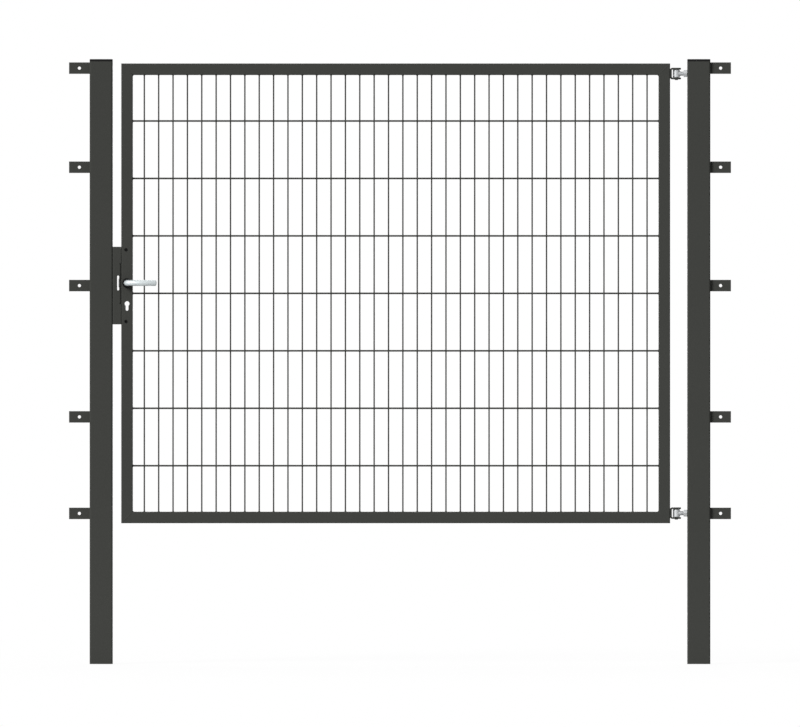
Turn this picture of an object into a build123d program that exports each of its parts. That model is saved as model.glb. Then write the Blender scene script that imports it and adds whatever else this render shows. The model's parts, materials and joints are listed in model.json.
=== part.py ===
"""Single fence gate: a mesh leaf hung between two posts on eye bolts, with a lever lock and its keep.

Millimetres, +Z up, +X from the lock post to the hinge post, +Y away from the viewer.
The origin lies midway between the posts, on their centre plane, at the level of their feet.
"""

import os
from math import atan2, degrees, floor, radians, sin

from build123d import *

os.makedirs("parts", exist_ok=True)

# Posts and their caps
opening_width = 2000.0
post_width = 80.0
post_depth = 40.0
post_wall = 3.0
post_corner = 6.0
post_length = 2097.0
cap_thickness = 8.0
cap_edge = 2.0
plug_depth = 25.0
plug_wall = 2.5
plug_gap = 0.3

# Tabs on the outer side of each post, where the fence panels are bolted on; drops are from the post's top
tab_reach = 72.0
tab_height = 40.0
tab_thickness = 5.0
tab_hole = 11.0
tab_hole_reach = 36.0
tab_end_round = 2.4
first_tab_drop = 23.0
second_tab_drop = 368.0
third_tab_drop = 780.0
fourth_tab_drop = 1237.0
fifth_tab_drop = 1573.0

# Leaf frame of mitred square tube, hung from the top of the posts
lock_gap = 30.0
hinge_gap = 60.0
leaf_top_drop = 7.0
leaf_height = 1600.0
tube_size = 40.0
tube_wall = 2.0
tube_corner = 4.0

# Double-rod mesh: uprights between a front and a rear layer of level rods
upright_pitch = 50.0
upright_diameter = 5.0
upright_margin = 40.0
level_pitch = 200.0
level_diameter = 6.0
level_margin = 160.0
rod_gap = 0.05

# Hinges: a bracket on the leaf, a pin, and an eye bolt in the post
hinge_inset = 35.0
pin_offset = 22.0
bracket_height = 40.0
bracket_thickness = 6.0
bracket_width = 32.0
bracket_bend = 2.0
ear_tip_flat = 0.1
eye_diameter = 24.0
eye_gap = 0.5
pin_diameter = 12.0
pin_fit = 0.1
pin_seat = 0.05
pin_tail = 2.5
pin_taper = 1.2
shank_diameter = 16.0
shank_depth = 30.0
shank_hole_gap = 0.4
thread_gap = 0.05
nut_size = 24.0
nut_height = 13.0

# Lock in the stile: its lever below the leaf's top, its middle below the lever, and the cylinder hole
lever_drop = 764.0
lock_centre_drop = 9.0
lock_length = 270.0
backset = 20.0
cylinder_drop = 72.0
cylinder_diameter = 17.0
cylinder_slot = 10.0
cylinder_height = 33.0
cylinder_gap = 0.1
cylinder_collar = 3.0
collar_height = 2.0
faceplate_width = 24.0
faceplate_thickness = 2.5
faceplate_gap = 0.2
faceplate_screw_inset = 24.0
faceplate_screw_diameter = 4.0
faceplate_screw_head = 7.5
faceplate_screw_length = 14.0
case_thickness = 20.0
case_end = 4.0
case_wall = 2.5
case_back_wall = 2.0
case_back_gap = 0.5
case_screw_inset = 10.0
case_screw_setback = 16.0
case_screw_diameter = 5.0
case_screw_length = 16.0
case_screw_head = 11.0
case_screw_head_height = 2.5
case_screw_socket = 3.0
case_screw_socket_depth = 1.6
bush_diameter = 12.0
bush_gap = 0.2
screw_gap = 0.15
pocket_rise = 48.0
pocket_below_cylinder = 32.0
light_pocket_gap = 8.0
light_pocket_margin = 12.0

# Handle: two levers on a square spindle through the follower
spindle_size = 8.0
spindle_gap = 0.05
spindle_reach = 61.0
socket_spare = 2.0
follower_radius = 7.0
follower_fit = 0.05
follower_arm = 14.0
follower_arm_width = 5.0
follower_arm_thickness = 8.0
neck_diameter = 17.0
neck_fit = 0.1
neck_start = 12.0
neck_overlap = 5.0
lever_diameter = 20.0
lever_length = 101.0
lever_bend = 12.5
lever_bow = 5.0
lever_end_edge = 1.0
rose_diameter = 33.0
rose_rim = 8.0
rose_length = 32.0
rose_nose = 26.0
rose_edge = 1.5
rose_spigot = 22.0
rose_spigot_depth = 3.0
rose_gap = 0.1
shoulder_gap = 0.5
grub_diameter = 5.0
grub_setback = 5.0
grub_recess = 1.0

# Latch bolt, its spring, and the dead bolt
latch_projection = 9.5
latch_height = 30.0
latch_thickness = 14.0
latch_tip = 5.0
latch_inset = 0.5
latch_window_gap = 0.3
riser_length = 3.0
riser_thickness = 10.0
riser_bottom = 8.0
riser_top = 26.0
tail_gap = 1.5
tail_height = 3.0
tail_thickness = 6.0
lug_gap = 0.95
lug_length = 2.0
lug_hub_gap = 1.0
spring_thickness = 0.8
spring_width = 8.0
spring_tail_gap = 1.0
spring_gap = 0.1
spring_side_gap = 0.05
spring_top_gap = 1.6
bolt_rise = 12.0
bolt_height = 30.0
bolt_thickness = 12.0
bolt_back_gap = 3.5
bolt_gap = 0.3
bolt_notch_width = 12.0
bolt_notch_height = 7.0
guide_height = 3.0
guide_notch = 9.0

# Keep: a folded channel on the lock post with a lip, a slot and two padded stops
keep_sheet = 3.0
keep_bend = 4.0
keep_inner_bend = 1.0
keep_gap = 0.8
keep_slot_length = 52.0
keep_slot_width = 7.6
keep_slot_offset = 11.2
lip_drop = 70.0
lip_rise = 66.0
lip_bend = 5.5
lip_depth = 12.0
lip_relief = 2.0
stop_gap = 3.0
stop_cover = 2.0
stop_reach = 9.0
stop_height = 57.0
pad_gap = 0.3
pad_inset = 4.0
pad_edge = 0.5
pad_width = 7.5
keep_screw_inset = 28.0
keep_screw_diameter = 6.0
keep_screw_head = 11.0
keep_screw_head_height = 3.3
keep_screw_socket = 4.0
keep_screw_socket_depth = 2.0
keep_screw_length = 16.0

# Working allowances: the band in which edges are picked by position, and the spare part of a pitch
# that still lets the last rod in
edge_band = 0.1
pitch_spare = 0.05

# Faces and centre lines that follow from the sizes above
lock_post_face = -opening_width / 2
hinge_post_face = opening_width / 2
lock_post_x = lock_post_face - post_width / 2
hinge_post_x = hinge_post_face + post_width / 2
leaf_left = lock_post_face + lock_gap
leaf_right = hinge_post_face - hinge_gap
leaf_top = post_length - leaf_top_drop
leaf_bottom = leaf_top - leaf_height
leaf_middle_x = (leaf_left + leaf_right) / 2
leaf_middle_z = (leaf_bottom + leaf_top) / 2
leaf_half = tube_size / 2
pin_x = leaf_right + pin_offset
upper_hinge = leaf_top - hinge_inset
lower_hinge = leaf_bottom + hinge_inset
lock_x = leaf_left + backset
lever_height = leaf_top - lever_drop
lock_centre = lever_height - lock_centre_drop
cylinder_z = lever_height - cylinder_drop
lock_bottom = lock_centre - lock_length / 2
lock_top = lock_centre + lock_length / 2


def at_depth(y):
    """Upright plane facing the viewer at depth y; a positive extrude comes forward."""
    return Plane.XZ.offset(-y)


def at_side(x):
    """Upright plane facing the hinge post at x; a positive extrude goes towards that post."""
    return Plane.YZ.offset(x)


def at_height(z):
    """Level plane at height z; a positive extrude goes up."""
    return Plane.XY.offset(z)


def save(node, name):
    """Label a finished piece and write it to a file of its own."""
    node.part.label = name
    export_step(node.part, f"parts/{name}.step")


def hollow_tube(base, width, depth, wall, corner, length):
    """Hollow rectangular tube with rounded corners, drawn on its base plane."""
    with BuildPart() as tube:
        with BuildSketch(base):
            RectangleRounded(width, depth, corner)
            inner_corner = max(corner - wall, wall / 4)
            RectangleRounded(width - 2 * wall, depth - 2 * wall, inner_corner, mode=Mode.SUBTRACT)
        extrude(amount=length)
    return tube.part


# Posts: open tubes as deep as the leaf, drilled where the keep and the eye bolts enter
keep_screw_heights = (lock_bottom + keep_screw_inset, lock_top - keep_screw_inset)
with BuildPart() as lock_post:
    post_base = Plane((lock_post_x, 0, 0))
    add(hollow_tube(post_base, post_width, post_depth, post_wall, post_corner, post_length))
    with BuildSketch(at_side(lock_post_face)):
        with Locations(*[(0, z) for z in keep_screw_heights]):
            Circle(keep_screw_diameter / 2 + screw_gap)
    extrude(amount=-post_wall, mode=Mode.SUBTRACT)
save(lock_post, "lock_post")

with BuildPart() as hinge_post:
    post_base = Plane((hinge_post_x, 0, 0))
    add(hollow_tube(post_base, post_width, post_depth, post_wall, post_corner, post_length))
    with BuildSketch(at_side(hinge_post_face)):
        with Locations((0, upper_hinge), (0, lower_hinge)):
            Circle(shank_diameter / 2 + shank_hole_gap)
    extrude(amount=post_wall, mode=Mode.SUBTRACT)
save(hinge_post, "hinge_post")

# Caps: a slab over the tube end and a hollow plug inside it
plug_width = post_width - 2 * post_wall - 2 * plug_gap
plug_thickness = post_depth - 2 * post_wall - 2 * plug_gap
plug_corner = max(post_corner - post_wall - plug_gap, plug_gap)
for name, post_x in (("lock_post_cap", lock_post_x), ("hinge_post_cap", hinge_post_x)):
    with BuildPart() as cap:
        with BuildSketch(Plane((post_x, 0, post_length))):
            RectangleRounded(post_width, post_depth, post_corner)
        extrude(amount=cap_thickness)
        fillet(cap.faces().sort_by(Axis.Z)[-1].edges(), cap_edge)
        with BuildSketch(Plane((post_x, 0, post_length))):
            RectangleRounded(plug_width, plug_thickness, plug_corner)
            hollow_width = plug_width - 2 * plug_wall
            hollow_thickness = plug_thickness - 2 * plug_wall
            RectangleRounded(hollow_width, hollow_thickness, plug_corner / 2, mode=Mode.SUBTRACT)
        extrude(amount=-plug_depth)
    save(cap, name)

# Fence tabs: flat bars on the outer side of each post, one hole in each, their far ends rounded over
tab_drops = (first_tab_drop, second_tab_drop, third_tab_drop, fourth_tab_drop, fifth_tab_drop)
post_sides = (("lock", lock_post_face - post_width, -1), ("hinge", hinge_post_face + post_width, 1))
for side, outer_face, outward in post_sides:
    for number, drop in enumerate(tab_drops, start=1):
        height = post_length - drop
        with BuildPart() as tab:
            with BuildSketch(at_depth(tab_thickness / 2)):
                with Locations((outer_face + outward * tab_reach / 2, height)):
                    Rectangle(tab_reach, tab_height)
                with Locations((outer_face + outward * tab_hole_reach, height)):
                    Circle(tab_hole / 2, mode=Mode.SUBTRACT)
            extrude(amount=tab_thickness)
            end_edges = tab.edges().filter_by(Axis.Z).group_by(Axis.X)
            fillet(end_edges[-1] if outward > 0 else end_edges[0], tab_end_round)
        save(tab, f"{side}_tab_{number}")

# Leaf frame: four tubes cut at 45 degrees where they meet
bush_length = leaf_half - tube_wall - case_thickness / 2 - bush_gap
case_screw_x = leaf_left + case_screw_setback
case_screw_points = (
    (case_screw_x, lock_bottom + case_screw_inset),
    (case_screw_x, lock_top - case_screw_inset),
)
cylinder_slot_height = cylinder_height - cylinder_diameter / 2 - cylinder_slot / 2


def cylinder_outline(spare):
    """Standard cylinder profile about its round top: a circle with a round-ended slot below it."""
    with BuildSketch(Plane.XY, mode=Mode.PRIVATE) as outline:
        Circle(cylinder_diameter / 2 + spare)
        with Locations((0, -cylinder_slot_height / 2)):
            Rectangle(cylinder_slot + 2 * spare, cylinder_slot_height)
        with Locations((0, -cylinder_slot_height)):
            Circle(cylinder_slot / 2 + spare)
    return outline.sketch


with BuildPart() as lock_stile:
    stile_base = Plane((leaf_left + leaf_half, 0, leaf_bottom))
    add(hollow_tube(stile_base, tube_size, tube_size, tube_wall, tube_corner, leaf_height))
    split(bisect_by=Plane((leaf_left, 0, leaf_bottom), z_dir=(-1, 0, 1)), keep=Keep.TOP)
    split(bisect_by=Plane((leaf_left, 0, leaf_top), z_dir=(-1, 0, -1)), keep=Keep.TOP)
    # Two bushes behind the front wall carry the lock case
    with BuildSketch(at_depth(-leaf_half + tube_wall)):
        with Locations(*case_screw_points):
            Circle(bush_diameter / 2)
    extrude(amount=-bush_length)
    with BuildSketch(at_depth(0)):
        with Locations(*case_screw_points):
            Circle(case_screw_diameter / 2 + screw_gap)
    extrude(amount=tube_size, mode=Mode.SUBTRACT)
    # Opening for the lock's faceplate
    with BuildSketch(at_side(leaf_left)):
        with Locations((0, lock_centre)):
            Rectangle(faceplate_width + 2 * faceplate_gap, lock_length + 2 * faceplate_gap)
    extrude(amount=tube_wall, mode=Mode.SUBTRACT)
    # Spindle and cylinder holes through both walls
    with BuildSketch(at_depth(0)):
        with Locations((lock_x, lever_height)):
            Circle(rose_spigot / 2 + rose_gap)
        with Locations((lock_x, cylinder_z)):
            add(cylinder_outline(cylinder_gap))
    extrude(amount=tube_size, both=True, mode=Mode.SUBTRACT)
save(lock_stile, "lock_stile")

with BuildPart() as hinge_stile:
    stile_base = Plane((leaf_right - leaf_half, 0, leaf_bottom))
    add(hollow_tube(stile_base, tube_size, tube_size, tube_wall, tube_corner, leaf_height))
    split(bisect_by=Plane((leaf_right, 0, leaf_bottom), z_dir=(1, 0, 1)), keep=Keep.TOP)
    split(bisect_by=Plane((leaf_right, 0, leaf_top), z_dir=(1, 0, -1)), keep=Keep.TOP)
save(hinge_stile, "hinge_stile")

leaf_width = leaf_right - leaf_left
with BuildPart() as bottom_rail:
    rail_base = at_side(leaf_left).shift_origin((leaf_left, 0, leaf_bottom + leaf_half))
    add(hollow_tube(rail_base, tube_size, tube_size, tube_wall, tube_corner, leaf_width))
    split(bisect_by=Plane((leaf_left, 0, leaf_bottom), z_dir=(1, 0, -1)), keep=Keep.TOP)
    split(bisect_by=Plane((leaf_right, 0, leaf_bottom), z_dir=(-1, 0, -1)), keep=Keep.TOP)
save(bottom_rail, "bottom_rail")

with BuildPart() as top_rail:
    rail_base = at_side(leaf_left).shift_origin((leaf_left, 0, leaf_top - leaf_half))
    add(hollow_tube(rail_base, tube_size, tube_size, tube_wall, tube_corner, leaf_width))
    split(bisect_by=Plane((leaf_left, 0, leaf_top), z_dir=(1, 0, 1)), keep=Keep.TOP)
    split(bisect_by=Plane((leaf_right, 0, leaf_top), z_dir=(-1, 0, 1)), keep=Keep.TOP)
save(top_rail, "top_rail")

# Mesh: as many rods as the frame takes at the given pitches
inner_width = leaf_width - 2 * tube_size
inner_height = leaf_height - 2 * tube_size
upright_count = floor((inner_width - 2 * upright_margin) / upright_pitch + pitch_spare) + 1
level_count = floor((inner_height - 2 * level_margin) / level_pitch + pitch_spare) + 1
with BuildPart() as upright_rods:
    with BuildSketch(Plane((leaf_middle_x, 0, leaf_bottom + tube_size))):
        with GridLocations(upright_pitch, 1, upright_count, 1):
            Circle(upright_diameter / 2)
    extrude(amount=inner_height)
save(upright_rods, "upright_rods")

rod_layer = (upright_diameter + level_diameter) / 2 + rod_gap
for name, layer_y in (("front_rods", -rod_layer), ("rear_rods", rod_layer)):
    with BuildPart() as level_rods:
        layer_start = (leaf_left + tube_size, layer_y, leaf_middle_z)
        with BuildSketch(Plane(layer_start, x_dir=(0, 1, 0), z_dir=(1, 0, 0))):
            with GridLocations(1, level_pitch, 1, level_count):
                Circle(level_diameter / 2)
        extrude(amount=inner_width)
    save(level_rods, name)

# Hinges: the bracket is bent from flat bar, its two ears rounded about the pin
ear_reach = pin_offset + bracket_width / 2
ear_space = bracket_height - 2 * bracket_thickness
for place, height in (("upper", upper_hinge), ("lower", lower_hinge)):
    with BuildPart() as bracket:
        with BuildSketch(at_depth(0)):
            with Locations((leaf_right + ear_reach / 2, height)):
                Rectangle(ear_reach, bracket_height)
            with Locations((leaf_right + (ear_reach + bracket_thickness) / 2, height)):
                Rectangle(ear_reach - bracket_thickness, ear_space, mode=Mode.SUBTRACT)
        extrude(amount=bracket_width / 2, both=True)
        bend_edges = bracket.edges().filter_by(Axis.Y).group_by(Axis.X)
        fillet(bend_edges[0], bracket_bend + bracket_thickness)
        ear_root = leaf_right + bracket_thickness
        inner_bends = bracket.edges().filter_by(Axis.Y).filter_by_position(
            Axis.X, ear_root - edge_band, ear_root + edge_band
        )
        fillet(inner_bends, bracket_bend)
        fillet(bracket.edges().filter_by(Axis.Z).group_by(Axis.X)[-1], (bracket_width - ear_tip_flat) / 2)
        with BuildSketch(at_height(height)):
            with Locations((pin_x, 0)):
                Circle(pin_diameter / 2 + pin_seat)
        extrude(amount=bracket_height, both=True, mode=Mode.SUBTRACT)
    save(bracket, f"{place}_bracket")

    with BuildPart() as pin:
        with BuildSketch(at_height(height + bracket_height / 2)):
            with Locations((pin_x, 0)):
                Circle(pin_diameter / 2)
        extrude(amount=-(bracket_height + pin_tail))
        chamfer(pin.faces().sort_by(Axis.Z)[0].edges(), pin_taper)
    save(pin, f"{place}_pin")

    eye_height = ear_space - 2 * eye_gap
    with BuildPart() as eye_bolt:
        with BuildSketch(at_height(height - eye_height / 2)):
            with Locations((pin_x, 0)):
                Circle(eye_diameter / 2)
        extrude(amount=eye_height)
        with BuildSketch(at_side(pin_x)):
            with Locations((0, height)):
                Circle(shank_diameter / 2)
        extrude(amount=hinge_post_face + shank_depth - pin_x)
        with BuildSketch(at_height(height)):
            with Locations((pin_x, 0)):
                Circle(pin_diameter / 2 + pin_fit)
        extrude(amount=bracket_height, both=True, mode=Mode.SUBTRACT)
    save(eye_bolt, f"{place}_eye_bolt")

# Nuts on the eye bolts: lock nuts outside the hinge post and welded nuts inside it
nut_faces = (("lock_nuts", hinge_post_face - nut_height), ("weld_nuts", hinge_post_face + post_wall))
for name, nut_face in nut_faces:
    with BuildPart() as nuts:
        with BuildSketch(at_side(nut_face)):
            with Locations((0, upper_hinge), (0, lower_hinge)):
                RegularPolygon(nut_size / 2, 6, major_radius=False)
                Circle(shank_diameter / 2 + thread_gap, mode=Mode.SUBTRACT)
        extrude(amount=nut_height)
    save(nuts, name)

# Lock case: a tray behind the faceplate, its pocket closed by a cover at the back
case_front = -case_thickness / 2
case_back = case_thickness / 2
tray_back = case_back - case_wall
pocket_floor = case_front + case_wall
case_left = leaf_left + faceplate_thickness
case_right = leaf_left + tube_size - tube_wall - case_back_gap
case_bottom = lock_bottom + case_end
case_top = lock_top - case_end
pocket_right = case_right - case_back_wall
pocket_top = lever_height + pocket_rise
pocket_bottom = cylinder_z - pocket_below_cylinder
faceplate_screw_heights = (lock_bottom + faceplate_screw_inset, lock_top - faceplate_screw_inset)
light_pocket_bottom = pocket_top + light_pocket_gap
light_pocket_top = faceplate_screw_heights[1] - light_pocket_margin
bolt_bottom = cylinder_z + bolt_rise
bolt_top = bolt_bottom + bolt_height
guide_left_length = lock_x - guide_notch - case_left
guide_right_length = pocket_right - lock_x - guide_notch
lower_guide_z = bolt_bottom - bolt_gap - guide_height / 2
with BuildPart() as lock_case:
    with BuildSketch(at_depth(tray_back)):
        with Locations(((case_left + case_right) / 2, (case_bottom + case_top) / 2)):
            Rectangle(case_right - case_left, case_top - case_bottom)
    extrude(amount=tray_back - case_front)
    # Pocket for the works, open towards the faceplate, and a smaller one that saves weight
    with BuildSketch(at_depth(tray_back)):
        with Locations(((case_left + pocket_right) / 2, (pocket_bottom + pocket_top) / 2)):
            Rectangle(pocket_right - case_left, pocket_top - pocket_bottom)
        light_pocket_z = (light_pocket_bottom + light_pocket_top) / 2
        with Locations(((case_left + case_wall + pocket_right) / 2, light_pocket_z)):
            Rectangle(pocket_right - case_left - case_wall, light_pocket_top - light_pocket_bottom)
    extrude(amount=tray_back - pocket_floor, mode=Mode.SUBTRACT)
    # Ribs that guide the dead bolt, the lower one open where a cylinder's cam turns
    with BuildSketch(at_depth(tray_back)):
        with Locations(((case_left + pocket_right) / 2, bolt_top + bolt_gap + guide_height / 2)):
            Rectangle(pocket_right - case_left, guide_height)
        with Locations((case_left + guide_left_length / 2, lower_guide_z)):
            Rectangle(guide_left_length, guide_height)
        with Locations((pocket_right - guide_right_length / 2, lower_guide_z)):
            Rectangle(guide_right_length, guide_height)
    extrude(amount=tray_back - pocket_floor)
    # Collar round the cylinder hole
    with BuildSketch(at_depth(pocket_floor + collar_height)):
        with Locations((lock_x, cylinder_z)):
            add(cylinder_outline(cylinder_collar))
    extrude(amount=collar_height)
    with BuildSketch(at_depth(tray_back)):
        with Locations((lock_x, cylinder_z)):
            add(cylinder_outline(cylinder_gap))
        with Locations((lock_x, lever_height)):
            Circle(follower_radius + follower_fit)
    extrude(amount=case_thickness, mode=Mode.SUBTRACT)
    with BuildSketch(at_depth(case_front)):
        with Locations(*case_screw_points):
            Circle(case_screw_diameter / 2 + thread_gap)
    extrude(amount=-(case_screw_length - bush_length - tube_wall), mode=Mode.SUBTRACT)
    with BuildSketch(at_side(case_left)):
        with Locations(*[(0, z) for z in faceplate_screw_heights]):
            Circle(faceplate_screw_diameter / 2 + thread_gap)
    extrude(amount=faceplate_screw_length, mode=Mode.SUBTRACT)
save(lock_case, "lock_case")

with BuildPart() as lock_cover:
    with BuildSketch(at_depth(case_back)):
        with Locations(((case_left + case_right) / 2, (case_bottom + case_top) / 2)):
            Rectangle(case_right - case_left, case_top - case_bottom)
        with Locations((lock_x, cylinder_z)):
            add(cylinder_outline(cylinder_gap), mode=Mode.SUBTRACT)
        with Locations((lock_x, lever_height)):
            Circle(follower_radius + follower_fit, mode=Mode.SUBTRACT)
    extrude(amount=case_wall)
save(lock_cover, "lock_cover")

# Faceplate: flush with the stile, with windows for the latch and the dead bolt
latch_window_width = latch_thickness + 2 * latch_window_gap
latch_window_height = latch_height + 2 * latch_window_gap
with BuildPart() as lock_faceplate:
    with BuildSketch(at_side(leaf_left)):
        with Locations((0, lock_centre)):
            RectangleRounded(faceplate_width, lock_length, faceplate_gap)
        with Locations((0, lever_height)):
            Rectangle(latch_window_width, latch_window_height, mode=Mode.SUBTRACT)
        with Locations((0, (bolt_top + bolt_bottom) / 2)):
            Rectangle(bolt_thickness + 2 * bolt_gap, bolt_height + 2 * bolt_gap, mode=Mode.SUBTRACT)
    extrude(amount=faceplate_thickness)
    with Locations(*[Plane((leaf_left, 0, z), z_dir=(-1, 0, 0)) for z in faceplate_screw_heights]):
        CounterSinkHole(
            faceplate_screw_diameter / 2 + screw_gap,
            faceplate_screw_head / 2 + screw_gap,
            counter_sink_angle=90,
        )
save(lock_faceplate, "lock_faceplate")

with BuildPart() as faceplate_screws:
    for height in faceplate_screw_heights:
        cone_length = (faceplate_screw_head - faceplate_screw_diameter) / 2
        screw_end = leaf_left + faceplate_thickness + faceplate_screw_length
        with BuildSketch(at_depth(0)):
            with BuildLine():
                Polyline(
                    (leaf_left, height),
                    (leaf_left, height + faceplate_screw_head / 2),
                    (leaf_left + cone_length, height + faceplate_screw_diameter / 2),
                    (screw_end, height + faceplate_screw_diameter / 2),
                    (screw_end, height),
                    close=True,
                )
            make_face()
        revolve(axis=Axis((leaf_left, 0, height), (1, 0, 0)))
save(faceplate_screws, "faceplate_screws")

with BuildPart() as case_screws:
    with BuildSketch(at_depth(-leaf_half)):
        with Locations(*case_screw_points):
            Circle(case_screw_head / 2)
    extrude(amount=case_screw_head_height)
    fillet(case_screws.edges().group_by(Axis.Y)[0], case_screw_head_height / 2)
    with BuildSketch(at_depth(-leaf_half)):
        with Locations(*case_screw_points):
            Circle(case_screw_diameter / 2)
    extrude(amount=-case_screw_length)
    with BuildSketch(at_depth(-leaf_half - case_screw_head_height)):
        with Locations(*case_screw_points):
            RegularPolygon(case_screw_socket / 2, 6, major_radius=False)
    extrude(amount=-case_screw_socket_depth, mode=Mode.SUBTRACT)
save(case_screws, "case_screws")

# Handle: follower, spindle, two levers and the roses they turn in
socket_size = spindle_size + 2 * spindle_gap
with BuildPart() as follower:
    with BuildSketch(at_depth(0)):
        with Locations((lock_x, lever_height)):
            Circle(follower_radius)
    extrude(amount=case_thickness / 2, both=True)
    with BuildSketch(at_depth(0)):
        with Locations((lock_x, lever_height + follower_arm / 2)):
            Rectangle(follower_arm_width, follower_arm)
    extrude(amount=follower_arm_thickness / 2, both=True)
    with BuildSketch(at_depth(0)):
        with Locations((lock_x, lever_height)):
            Rectangle(socket_size, socket_size)
    extrude(amount=case_thickness, both=True, mode=Mode.SUBTRACT)
save(follower, "follower")

with BuildPart() as spindle:
    with BuildSketch(at_depth(0)):
        with Locations((lock_x, lever_height)):
            Rectangle(spindle_size, spindle_size)
    extrude(amount=spindle_reach, both=True)
save(spindle, "spindle")

shoulder = leaf_half + rose_length + shoulder_gap
lever_reach = shoulder + lever_bend
grub_reach = shoulder + grub_setback
bend_x = lock_x + lever_bend
bow_run = lever_length - lever_bend
bow_angle = degrees(2 * atan2(lever_bow, bow_run))
bow_radius = bow_run / sin(radians(bow_angle))
with BuildPart() as front_lever:
    # Round bar that bends out of its shoulder and bows a little towards the leaf
    with BuildSketch(at_depth(-shoulder)):
        with Locations((lock_x, lever_height)):
            Circle(lever_diameter / 2)
    revolve(axis=Axis((bend_x, -shoulder, lever_height), (0, 0, 1)), revolution_arc=90)
    with BuildSketch(at_side(bend_x)):
        with Locations((-lever_reach, lever_height)):
            Circle(lever_diameter / 2)
    bow_axis = Axis((bend_x, bow_radius - lever_reach, lever_height), (0, 0, 1))
    revolve(axis=bow_axis, revolution_arc=bow_angle)
    fillet(front_lever.faces().sort_by(Axis.X)[-1].edges(), lever_end_edge)
    # Neck with a square socket for the spindle and a hole for the screw that holds it
    with BuildSketch(at_depth(-neck_start)):
        with Locations((lock_x, lever_height)):
            Circle(neck_diameter / 2)
    extrude(amount=shoulder + neck_overlap - neck_start)
    with BuildSketch(at_depth(-neck_start)):
        with Locations((lock_x, lever_height)):
            Rectangle(socket_size, socket_size)
    extrude(amount=spindle_reach + socket_spare - neck_start, mode=Mode.SUBTRACT)
    with BuildSketch(at_height(lever_height)):
        with Locations((lock_x, -grub_reach)):
            Circle(grub_diameter / 2 + thread_gap)
    extrude(amount=-lever_diameter, mode=Mode.SUBTRACT)
save(front_lever, "front_lever")

with BuildPart() as rear_lever:
    mirror(front_lever.part, about=Plane.XZ)
save(rear_lever, "rear_lever")

grub_length = lever_diameter / 2 - spindle_size / 2 - grub_recess
with BuildPart() as grub_screws:
    with BuildSketch(at_height(lever_height - spindle_size / 2)):
        with Locations((lock_x, -grub_reach), (lock_x, grub_reach)):
            Circle(grub_diameter / 2)
    extrude(amount=-grub_length)
save(grub_screws, "grub_screws")

# Roses: a spigot in the stile's wall, a rim on its face and a tapered collar that carries the lever's neck
neck_bore = neck_diameter / 2 + neck_fit
for name, facing in (("front_rose", -1), ("rear_rose", 1)):
    with BuildPart() as rose:
        with BuildSketch(at_height(lever_height)):
            with BuildLine():
                Polyline(
                    (lock_x + neck_bore, facing * (leaf_half - rose_spigot_depth)),
                    (lock_x + rose_spigot / 2, facing * (leaf_half - rose_spigot_depth)),
                    (lock_x + rose_spigot / 2, facing * leaf_half),
                    (lock_x + rose_diameter / 2, facing * leaf_half),
                    (lock_x + rose_diameter / 2, facing * (leaf_half + rose_rim)),
                    (lock_x + rose_nose / 2, facing * (leaf_half + rose_length)),
                    (lock_x + neck_bore, facing * (leaf_half + rose_length)),
                    close=True,
                )
            make_face()
        revolve(axis=Axis((lock_x, 0, lever_height), (0, 1, 0)))
        nose_edges = rose.edges().filter_by(GeomType.CIRCLE).group_by(Axis.Y)[0 if facing < 0 else -1]
        fillet(nose_edges.sort_by(SortBy.RADIUS)[-1], rose_edge)
    save(rose, name)

# Latch bolt: a bevelled head, a riser for the spring, and a tail with a lug before the follower's arm
head_left = leaf_left - latch_projection
head_right = case_left + latch_inset
riser_right = head_right + riser_length
tail_bottom = follower_arm + tail_gap
lug_bottom = follower_radius + lug_hub_gap
tail_right = lock_x + follower_arm_width / 2 + lug_gap + lug_length
with BuildPart() as latch_bolt:
    with BuildSketch(at_depth(0)):
        with Locations(((head_left + head_right) / 2, lever_height)):
            Rectangle(head_right - head_left, latch_height)
    extrude(amount=latch_thickness / 2, both=True)
    bevel = latch_thickness - latch_tip
    with BuildSketch(at_height(lever_height)):
        with BuildLine():
            Polyline(
                (head_left, latch_thickness / 2 - bevel),
                (head_left + bevel, latch_thickness / 2),
                (head_left, latch_thickness / 2),
                close=True,
            )
        make_face()
    extrude(amount=latch_height, both=True, mode=Mode.SUBTRACT)
    with BuildSketch(at_depth(0)):
        with Locations(((head_right + riser_right) / 2, lever_height + (riser_bottom + riser_top) / 2)):
            Rectangle(riser_length, riser_top - riser_bottom)
    extrude(amount=riser_thickness / 2, both=True)
    with BuildSketch(at_depth(0)):
        with Locations(((riser_right + tail_right) / 2, lever_height + tail_bottom + tail_height / 2)):
            Rectangle(tail_right - riser_right, tail_height)
        with Locations((tail_right - lug_length / 2, lever_height + (lug_bottom + tail_bottom) / 2)):
            Rectangle(lug_length, tail_bottom - lug_bottom)
    extrude(amount=tail_thickness / 2, both=True)
save(latch_bolt, "latch_bolt")

# Latch spring: a bent strip between the riser and the back wall of the case
spring_left = riser_right + spring_gap
spring_right = pocket_right - spring_side_gap
spring_radius = (spring_right - spring_left) / 2
spring_x = (spring_left + spring_right) / 2
spring_z = pocket_top - spring_radius - spring_top_gap
spring_bottom = lever_height + tail_bottom + tail_height + spring_tail_gap
with BuildPart() as latch_spring:
    with BuildSketch(at_depth(0)):
        with Locations((spring_x, spring_z)):
            Circle(spring_radius)
        with Locations((spring_x, (spring_z + spring_bottom) / 2)):
            Rectangle(2 * spring_radius, spring_z - spring_bottom)
        with Locations((spring_x, spring_z)):
            Circle(spring_radius - spring_thickness, mode=Mode.SUBTRACT)
        with Locations((spring_x, spring_z - spring_radius)):
            Rectangle(2 * (spring_radius - spring_thickness), 2 * spring_radius, mode=Mode.SUBTRACT)
    extrude(amount=spring_width / 2, both=True)
save(latch_spring, "latch_spring")

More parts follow.
